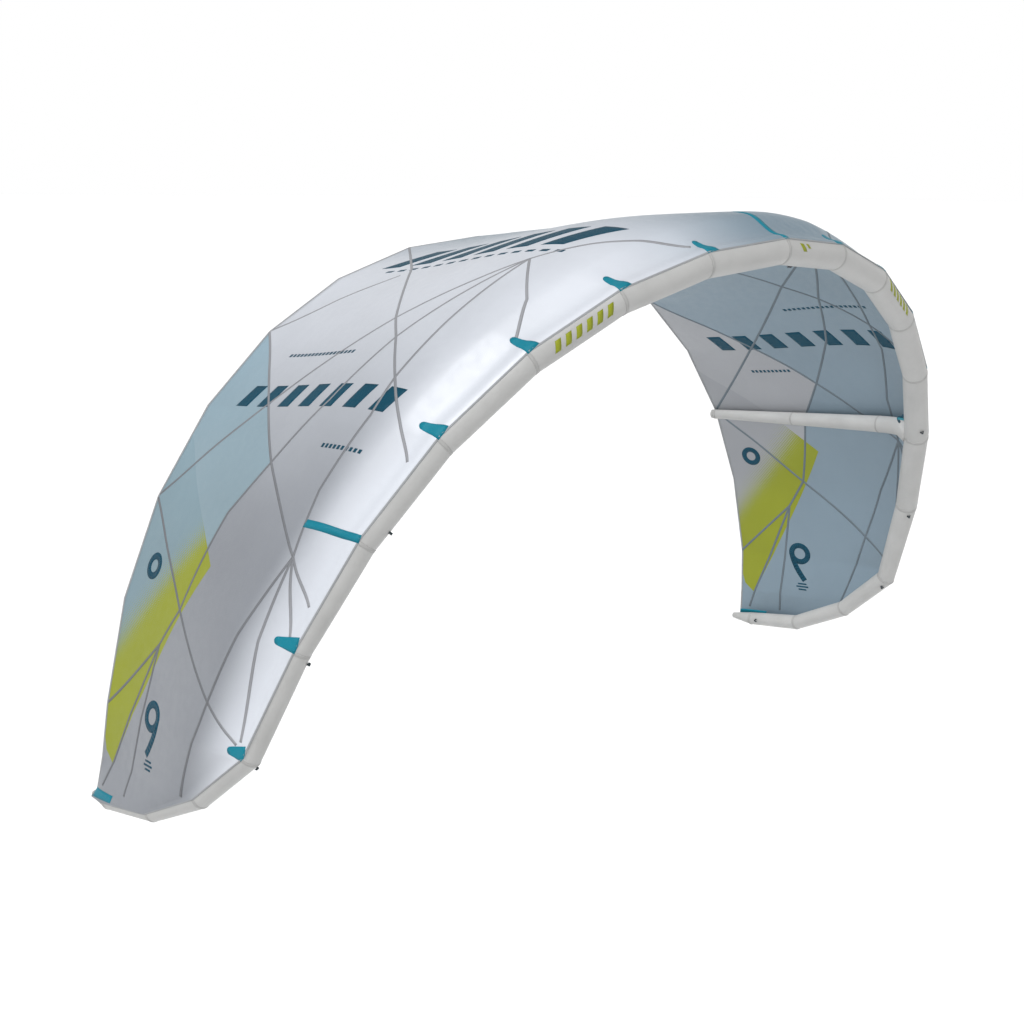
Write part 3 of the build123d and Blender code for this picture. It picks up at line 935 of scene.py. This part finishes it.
PATCH_SEAMS = (1, 2, 3, 4, 6, 7)
PATCH_FRONT = 0.031          # half width of a patch beside the tube, and of its round nose
PATCH_NOSE = 0.016
PATCH_LONG = 0.060           # how far a patch reaches aft of the tube's line
BAR_HALF = 0.015
BAR_LONG = 0.205
CENTRE_BAR_END = 0.225
FRONT_INSET = 0.002          # patches and bars start this far behind the canopy's front edge
TIP_PATCH = ((3.352, 1.742), (3.388, 1.745), (3.378, 1.590), (3.346, 1.575))


def nose_outline(middle, front, tip, wide, narrow):
    """A tapered outline with a half round nose."""
    round_part = []
    for i in range(7):
        turn = pi * i / 6
        round_part.append((middle + narrow * cos(turn), tip - narrow + narrow * sin(turn)))
    return [(middle - wide, front), (middle + wide, front)] + round_part


def bar_outline(middle, tail, slant=0.0):
    """A bar from the canopy's front edge to tail, its end cut at a slant."""
    front = edges_at(middle)[0] + FRONT_INSET
    low, high = middle - BAR_HALF, middle + BAR_HALF
    return [(low, front), (high, front), (high, tail), (low, tail - slant)]


def make_patches(word, side):
    flat = bmesh.new()
    for k in PATCH_SEAMS:
        middle = ARCS[k] - 0.018
        front, line, _ = edges_at(middle)
        tip = line + PATCH_LONG
        outline = nose_outline(middle, front + FRONT_INSET, tip, PATCH_FRONT, PATCH_NOSE)
        flat_polygon(flat, outline, side)
    middle = ARCS[STRUT_SEAM]
    flat_polygon(flat, bar_outline(middle, edges_at(middle)[1] + BAR_LONG, 0.012), side)
    flat_polygon(flat, TIP_PATCH, side)
    if side > 0:
        flat_polygon(flat, bar_outline(0, CENTRE_BAR_END))
    patches = sewn_shell(flat, PATCH_HALF, f"teal_patches_{word}", [MATERIALS["teal"]])
    return place(patches, "reinforcement_webbing")


def to_pattern(side, at, x, y):
    """Print coordinates, x to the reader's right and y up, on the flat pattern round a point."""
    return side * (at[0] - y), at[1] + side * x


def print_polygon(flat, side, at, corners):
    flat_polygon(flat, [to_pattern(side, at, *corner) for corner in corners])


def slanted_bar(flat, side, at, x, width, height, lean=0.25):
    shift = lean * height / 2
    corners = ((x - shift, -height / 2), (x + width - shift, -height / 2), (x + width + shift, height / 2),
               (x + shift, height / 2))
    print_polygon(flat, side, at, corners)


def bar_row(flat, side, at, length, height, count, fill=0.6, lean=0.25):
    """A plain row of slanted bars, as long as given, centred on a point."""
    pitch = length / count
    for i in range(count):
        slanted_bar(flat, side, at, -length / 2 + pitch * (i + (1 - fill) / 2), pitch * fill, height, lean)


def ring(flat, side, at, centre, radius, stroke, count=28):
    for i in range(count):
        corners = []
        for turn, out in ((i, -0.5), (i, 0.5), (i + 1, 0.5), (i + 1, -0.5)):
            angle = 2 * pi * turn / count
            reach = radius + stroke * out
            corners.append((centre[0] + reach * cos(angle), centre[1] + reach * sin(angle)))
        print_polygon(flat, side, at, corners)


def figure_nine(flat, side, at, height):
    """The size figure, a ring with a leg that curves down from its right side."""
    radius = height * 0.235
    stroke = height * 0.15
    top = height / 2 - radius
    ring(flat, side, at, (0, top), radius, stroke)
    steps = 10
    spine = []
    for i in range(steps + 1):
        share = i / steps
        spine.append((radius * (1 - 1.45 * share ** 1.7), top - (top + height / 2) * share))
    edges = []
    for i, (x, y) in enumerate(spine):
        before = spine[max(i - 1, 0)]
        after = spine[min(i + 1, steps)]
        length = hypot(after[0] - before[0], after[1] - before[1])
        across = ((before[1] - after[1]) / length * stroke / 2, (after[0] - before[0]) / length * stroke / 2)
        edges.append(((x - across[0], y - across[1]), (x + across[0], y + across[1])))
    for near, far in zip(edges, edges[1:]):
        print_polygon(flat, side, at, (*near, far[1], far[0]))


# Printed rows of bars: place, length, height, count, filled share and lean.
BOTH_ROWS = (((1.650, 1.000), 1.06, 0.105, 7, 0.52, 0.45),)
BAR_ROWS = {
    "left": (
        ((0.635, 0.925), 1.18, 0.20, 6, 0.62, 0.75),
        ((0.790, 0.925), 1.10, 0.018, 14, 0.55),
        *BOTH_ROWS,
        ((1.430, 1.185), 0.46, 0.016, 18),
        ((1.860, 0.645), 0.23, 0.016, 10),
    ),
    "right": (
        *BOTH_ROWS,
        ((1.430, 0.760), 0.46, 0.016, 18),
        ((1.860, 1.258), 0.23, 0.016, 10),
    ),
}
RING_AT = (2.420, 1.555)
RING_RADIUS = 0.040
RING_STROKE = 0.028
FIGURE_AT = (3.030, 1.340)
FIGURE_HEIGHT = 0.20
DASHES_AT = (3.150, 1.336)
DASH_WIDTHS = (0.05, 0.07, 0.045)
DASH_PITCH = 0.016
DASH_HEIGHT = 0.008


def make_prints(word, side):
    flat = bmesh.new()
    for row in BAR_ROWS[word]:
        bar_row(flat, side, *row)
    ring(flat, side, RING_AT, (0, 0), RING_RADIUS, RING_STROKE)
    figure_nine(flat, side, FIGURE_AT, FIGURE_HEIGHT)
    for i, wide in enumerate(DASH_WIDTHS):
        at = (DASHES_AT[0] + DASH_PITCH * i, DASHES_AT[1])
        slanted_bar(flat, side, at, -wide / 2, wide, DASH_HEIGHT)
    bmesh.ops.recalc_face_normals(flat, faces=flat.faces)
    for face in flat.faces:
        face.normal_update()
    upside = [face for face in flat.faces if face.normal.z < 0]
    bmesh.ops.reverse_faces(flat, faces=upside)
    return place(sewn_shell(flat, PRINT_HALF, f"prints_{word}", [MATERIALS["print"]]), "canopy_cloth")


# ---- Air tubes ----
TUBE_AROUND = 56
TUBE_TURNS = [2 * pi * i / TUBE_AROUND for i in range(TUBE_AROUND)]


def seam_frame(k, side):
    """The seam's centre and two unit vectors of its round section."""
    out = outward(k, side)
    along = seam_direction(k, side)
    out = (out - along * out.dot(along)).normalized()
    return tube_centre(k, side), out, along.cross(out)


def tube_point(k, side, share, turn, extra=0.0):
    """A point on tube segment k at a share along it and an angle round it from the wing's outside."""
    ends = []
    for seam in (k, k + 1):
        centre, out, across = seam_frame(seam, side)
        ends.append(centre + (out * cos(turn) + across * sin(turn)) * (TUBE_RADII[seam] + extra))
    return ends[0].lerp(ends[1], share)


def segment_offset(share, turn):
    """Swell between the seams and small puckers close to them."""
    near = exp(-min(share, 1 - share) * 16)
    return TUBE_SWELL * (1 - near) + PUCKER * near * (sin(PUCKERS * turn) - 1)


def tube_stations():
    close = (0, 0.02, 0.045, 0.08, 0.13)
    middle = [mix(0.2, 0.8, i / 6) for i in range(7)]
    return [*close, *middle, *[1 - share for share in reversed(close)]]


def circle(centre, a, b, radius, count):
    """Points of a circle round a centre, from unit vector a towards b."""
    turns = [2 * pi * i / count for i in range(count)]
    return [centre + (a * cos(turn) + b * sin(turn)) * radius for turn in turns]


def lathe(rings, name, key, uvs, closed_end=False):
    """A tube of rings of points, out along its outside and back along its inside."""
    count = len(rings[0])

    def uv_at(row, column):
        return uvs[row % len(uvs)], column / count * 0.4

    shell = new_shell()
    rows = bridge(shell, rings, not closed_end, uv_at)
    if closed_end:
        for end in (rows[0], rows[-1]):
            shell.faces.new(end)
    return close_shell(shell, name, key)


def segment_length(k, side):
    return (seam_point(k + 1, side) - seam_point(k, side)).length


def segment_ring(k, side, share, inset):
    points = []
    for turn in TUBE_TURNS:
        points.append(tube_point(k, side, share, turn, segment_offset(share, turn) - inset))
    return points


def make_segment(k, word, side):
    shares = tube_stations()
    outer = [segment_ring(k, side, share, 0.0) for share in shares]
    inner = [segment_ring(k, side, share, SLEEVE) for share in reversed(shares)]
    runs = [(k + share) * segment_length(k, side) for share in shares]
    name = f"tube_segment_{word}_{k + 1:02d}"
    piece = lathe(outer + inner, name, "tube", runs + runs[::-1])
    return place(piece, "tube_cloth", f"le_tube_{word}_{k + 1:02d}")


RING_HALF = 0.0075
RING_HIGH = 0.0014
# A ring tape's section: how far to one side in half widths, and its height over the cloth.
RING_TOP = ((-0.85, RING_HIGH), (0, RING_HIGH), (0.85, RING_HIGH))
RING_PROFILE = ((-1, 0.0001), *RING_TOP, (1, 0.0001), (0, -0.0008))


def make_seam_rings(word, side):
    """Tapes sewn round the tube over its joints, with the middle one on the right half."""
    def uv_at(row, column):
        return row * 0.008, RING_PROFILE[column % len(RING_PROFILE)][0] * RING_HALF

    shell = new_shell()
    for k in range(0 if side > 0 else 1, SEAMS - 1):
        rings = [[ring_point(k, side, turn, *corner) for corner in RING_PROFILE] for turn in TUBE_TURNS]
        bridge(shell, rings, True, uv_at)
    return place(close_shell(shell, f"tube_seam_tapes_{word}", "seam"), "tube_cloth")


def ring_point(k, side, turn, off, high):
    """A point near seam k, off to one side of it along the tube and high over the cloth."""
    if off < 0 and k == 0:
        return tube_point(0, -side, RING_HALF * -off / SEAM_PITCH, -turn, high)
    segment = k if off >= 0 else k - 1
    share = abs(off) * RING_HALF / segment_length(segment, side)
    return tube_point(segment, side, share if off >= 0 else 1 - share, turn, high)


CAP_RINGS = 9
CAP_BACK = 0.0015            # the cap starts this far back on the tube
CAP_OVER = 0.0006            # and stands this far over its cloth


def make_tip_cap(word, side):
    """Cloth cap that closes the tube's thin end."""
    centre, out, across = seam_frame(SEAMS - 1, side)
    along = seam_direction(SEAMS - 1, side)
    radius = TUBE_RADII[-1]
    rings = []
    for i in range(CAP_RINGS):
        lift = i / (CAP_RINGS - 1) * pi / 2 * 0.98
        middle = centre + along * (radius * 0.5 * sin(lift) - CAP_BACK)
        rings.append(circle(middle, out, across, radius * cos(lift) + CAP_OVER, TUBE_AROUND))
    runs = [i * 0.003 for i in range(CAP_RINGS)]
    return place(lathe(rings, f"tube_tip_cap_{word}", "seam", runs, True), "tube_cloth")


# ---- Struts ----
STRUT_AROUND = 48
STRUT_SHARES = [0.04 + 0.96 * i / 30 for i in range(31)]
STRUT_NOSE = 0.02            # chord share of the ring that is drawn back to the tube's cloth
STRUT_FIRST = 0.10           # and of the first whole ring behind it
STRUT_GAP = 0.0012
STRUT_END = 0.006            # how far the tail's round end reaches
STRUT_TAPES = ((0.985, 0.007), (0.60, 0.004), (0.20, 0.004))   # chord share and half width


def strut_axis(k, side, t):
    radius = mix(STRUT_NOSE_R, STRUT_TAIL_R, t)
    up = crown(k, t) - CLEAR - radius
    return seam_point(k, side) + Vector((0, chord(k) * t, 0)) + outward(k, side) * up, radius


def tube_gap(point):
    """Distance from a point to the leading edge tube's cloth."""
    best = 1e9
    side = -1 if point.x < 0 else 1
    for k in range(LAST_RIB):
        start = tube_centre(k, side)
        line = tube_centre(k + 1, side) - start
        share = max(0.0, min(1.0, (point - start).dot(line) / line.length_squared))
        radius = mix(TUBE_RADII[k], TUBE_RADII[k + 1], share)
        best = min(best, (start + line * share - point).length - radius)
    return best


def against_tube(front, back):
    """Where the line from a strut's ring forward meets the tube."""
    near, far = 0.0, 1.0
    for _ in range(24):
        middle = (near + far) / 2
        if tube_gap(back.lerp(front, middle)) > STRUT_GAP:
            near = middle
        else:
            far = middle
    return back.lerp(front, near)


def strut_section(along, k, side):
    """Two unit vectors of a strut's section, across it and up."""
    across = along.cross(outward(k, side)).normalized()
    return across, across.cross(along)


def strut_ring(k, side, t, extra):
    centre, radius = strut_axis(k, side, t)
    ahead = strut_axis(k, side, min(1.0, t + 0.02))[0]
    behind = strut_axis(k, side, max(0.03, t - 0.02))[0]
    across, up = strut_section((ahead - behind).normalized(), k, side)
    swell = 0.0009 * sin(min(1.0, t * 8) * pi / 2)
    points = []
    for i in range(STRUT_AROUND):
        turn = 2 * pi * i / STRUT_AROUND
        reach = radius + swell * (1 - sin(turn)) / 2 + extra
        points.append(centre + (across * cos(turn) + up * sin(turn)) * reach)
    return points


def make_strut(word, k, side):
    """Tapered air tube under the canopy, cut to the leading edge and closed by a round end."""
    rings = []
    runs = []
    for extra in (-SLEEVE, 0.0):
        first = strut_ring(k, side, STRUT_FIRST, extra)
        ahead = strut_ring(k, side, STRUT_NOSE, extra)
        nose = [against_tube(front, back) for front, back in zip(ahead, first)]
        body = [(STRUT_NOSE, nose), (STRUT_FIRST, first)]
        body += [(t, strut_ring(k, side, t, extra)) for t in STRUT_SHARES if t > STRUT_FIRST + 0.005]
        if extra < 0:
            body.reverse()
        rings += [ring_points for _, ring_points in body]
        runs += [t * chord(k) for t, _ in body]
    centre, radius = strut_axis(k, side, 1.0)
    along = (centre - strut_axis(k, side, 0.96)[0]).normalized()
    across, up = strut_section(along, k, side)
    for i in range(1, 8):
        lift = i / 7 * pi / 2 * 0.97
        middle = centre + along * (STRUT_END * sin(lift))
        rings.append(circle(middle, across, up, radius * cos(lift), STRUT_AROUND))
        runs.append(chord(k) + 0.005 * i)
    return place(lathe(rings, f"strut_sleeve_{word}", "tube", runs, True), "tube_cloth", f"strut_{word}")


def make_strut_trim(word, k, side):
    """Tapes sewn round a strut: one at its tail, one past its middle and one near its front."""
    shell = new_shell()
    for t, half in STRUT_TAPES:
        near, far = t - half / chord(k), t + half / chord(k)
        section = ((near, 0.0002), (near, 0.0012), (far, 0.0012), (far, 0.0002), (t, -0.0006))
        bridge(shell, [strut_ring(k, side, *corner) for corner in section], True)
    trim = close_shell(shell, f"strut_tapes_{word}", "seam", lambda at: (at.y, at.x + at.z))
    return place(trim, "tube_cloth")


# ---- Marks on the tube ----
MARK_OVER = 0.0016
MARK_UNDER = 0.0004
MARK_COUNT = 6
MARK_FIRST = 0.14            # where the row starts along its segment, and its pitch and width
MARK_PITCH = 0.115
MARK_WIDE = 0.062


def tube_mark(shell, k, side, shares, degrees, lean):
    """A plate printed on the tube between two shares along it and two angles round it."""
    rows = []
    steps = 5
    for level in (MARK_OVER, -MARK_UNDER):
        for i in range(steps + 1):
            turn = mix(radians(degrees[0]), radians(degrees[1]), i / steps) * side
            shift = lean * (i / steps - 0.5)
            points = [tube_point(k, side, share + shift, turn, level) for share in shares]
            rows.append([shell.verts.new(point) for point in points])
    rows = rows[:steps + 1] + rows[:steps:-1]
    for i, row in enumerate(rows):
        after = rows[(i + 1) % len(rows)]
        shell.faces.new((row[0], row[1], after[1], after[0]))
    shell.faces.new([row[0] for row in rows])
    shell.faces.new([row[1] for row in reversed(rows)])


def make_tube_marks(word, side):
    shell = new_shell()
    for i in range(MARK_COUNT):
        start = MARK_FIRST + MARK_PITCH * i
        tube_mark(shell, 2, side, (start, start + MARK_WIDE), (58, 98), 0.05)
    if side > 0:
        tube_mark(shell, 0, side, (0.20, 0.26), (56, 88), 0.04)
        tube_mark(shell, 0, side, (0.30, 0.34), (56, 74), 0.03)
    marks = close_shell(shell, f"tube_marks_{word}", "lime", lambda at: (at.x, at.z))
    return place(marks, "tube_cloth")


# ---- Line loops ----
WEB_WIDE = 0.010
WEB_THICK = 0.0014
WEB_BORE = 0.0042
WEB_EYE = 0.0068             # height of the eye's centre over the tube
WEB_FOOT = 0.009
WEB_EDGE = 0.0006            # the web's rounded edge


def loop_profile():
    """Side view of a webbing loop: foot, round eye, foot, as a closed band."""
    bands = []
    for radius, foot in ((WEB_BORE + WEB_THICK, 0.0022), (WEB_BORE, 0.0008)):
        turns = [radians(235 - 290 * i / 20) for i in range(21)]
        eye = [(radius * cos(turn), WEB_EYE + radius * sin(turn)) for turn in turns]
        bands.append([(-WEB_FOOT, foot), *eye, (WEB_FOOT, foot)])
    return bands[0] + bands[1][::-1]


def make_loops(name, spots, tilt, node):
    shell = new_shell()
    profile = loop_profile()
    wide = WEB_WIDE / 2
    for k, side, share in spots:
        start, end = tube_centre(k, side), tube_centre(k + 1, side)
        along = (end - start).normalized()
        radius = mix(TUBE_RADII[k], TUBE_RADII[k + 1], share)
        inward = outward(k, side) * -1
        face = Vector((0, -cos(radians(tilt)), 0)) + inward * sin(radians(tilt))
        face = (face - along * face.dot(along)).normalized()
        across = face.cross(along)
        base = start.lerp(end, share) + face * (radius + 0.0008)
        rings = []
        for off in (-wide, WEB_EDGE - wide, wide - WEB_EDGE, wide):
            rings.append([base + along * off + across * x + face * y for x, y in profile])
        rows = bridge(shell, rings, False)
        count = len(profile)
        for row in (rows[0], rows[-1]):
            for i in range(count // 2 - 1):
                shell.faces.new((row[i], row[i + 1], row[count - 2 - i], row[count - 1 - i]))
    loops = close_shell(shell, name, "webbing", lambda at: (at.x + at.z, at.y))
    return place(loops, "reinforcement_webbing", node)


# ---- CAD pieces that stay ----
FITTINGS = {
    "hose": ("hose_left", "hose_centre", "hose_right"),
    "lever": ("clamp_lever_left", "clamp_lever_centre", "clamp_lever_right"),
    "clamp": ("clamp_bodies",),
    "steel": ("clamp_pins", "valve_pins"),
    "film": ("le_bladder", "strut_bladders"),
    "valve": ("inflation_valve_base", "inflation_valve_cap", "dump_valve_base", "dump_valve_cap"),
}


def dress_cad():
    """Gives the CAD meshes that stay their materials."""
    for key, nodes in FITTINGS.items():
        for node in nodes:
            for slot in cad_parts[node].material_slots:
                slot.material = MATERIALS[key]


# ---- Floor and light ----
def floor_material():
    nodes = Nodes("studio_floor")
    grain = nodes.noise(nodes.object_place(), 3.0, 3.0)
    color = nodes.tint((0.95, 0.95, 0.95), 0.003, grain)
    return nodes.finish(color, nodes.ramp(grain, 0.3, 0.7, 0.86, 0.92), nodes.bump(grain, 0.001, 0.1))


def add_floor():
    bm = bmesh.new()
    bmesh.ops.create_circle(bm, cap_ends=True, segments=96, radius=FLOOR_RADIUS)
    floor = add_object("studio_floor", bm, [floor_material()])


def add_sky():
    """Studio dome: white at the horizon and about a quarter as bright overhead."""
    world = bpy.data.worlds.new("studio")
    world.use_nodes = True
    tree = world.node_tree
    background = tree.nodes["Background"]
    background.inputs["Color"].default_value = (1, 1, 1, 1)
    place = tree.nodes.new("ShaderNodeTexCoord")
    height = tree.nodes.new("ShaderNodeSeparateXYZ")
    fade = tree.nodes.new("ShaderNodeMapRange")
    tree.links.new(place.outputs["Generated"], height.inputs[0])
    tree.links.new(height.outputs[2], fade.inputs[0])
    tree.links.new(fade.outputs[0], background.inputs["Strength"])
    for socket, value in zip(fade.inputs[1:5], (*SKY_FADE, HORIZON, OVERHEAD)):
        socket.default_value = value
    bpy.context.scene.world = world


def add_sun(name, toward, strength, spread):
    """Soft shadowless light from one side, the same at every distance."""
    data = bpy.data.lights.new(name, "SUN")
    data.use_shadow = False
    data.energy = strength
    data.angle = radians(spread)
    light = bpy.data.objects.new(name, data)
    bpy.context.scene.collection.objects.link(light)
    light.rotation_mode = "QUATERNION"
    light.rotation_quaternion = Vector(toward).to_track_quat("Z", "Y")


def add_lights():
    add_sky()
    add_sun("key", KEY_TOWARD, KEY, KEY_SPREAD)
    bpy.context.scene.view_settings.view_transform = "Standard"


# ---- Build ----
SIDES = (("left", -1), ("right", 1))
FRONT_HEM = 0.008
TRAILING_HEM = 0.009
STRUTS = (("left", STRUT_SEAM, -1), ("centre", 0, 1), ("right", STRUT_SEAM, 1))


def build():
    canopy, area = make_canopy()
    trims = [make_hem("front_hem", 0, FRONT_HEM), make_hem("trailing_edge_hem", 2, TRAILING_HEM)]
    for word, side in SIDES:
        trims += [make_tapes(word, side), make_patches(word, side), make_prints(word, side)]
        for k in range(SEAMS - 1):
            make_segment(k, word, side)
        make_seam_rings(word, side)
        make_tip_cap(word, side)
        make_tube_marks(word, side)
        spots = [(k, side, share) for k, share in BRIDLE_POINTS]
        make_loops(f"bridle_webbing_{word}", spots, LOOP_TILT, f"bridle_loops_{word}")
    tips = [(TIP_POINT[0], side, TIP_POINT[1]) for _, side in SIDES]
    make_loops("tip_webbing", tips, TIP_LOOP_TILT, "tip_loops")
    for word, k, side in STRUTS:
        make_strut(word, k, side)
        make_strut_trim(word, k, side)
    dress_cad()
    length = TRAILING_EDGE_Y + front_reach(0)


build()
add_floor()
add_lights()
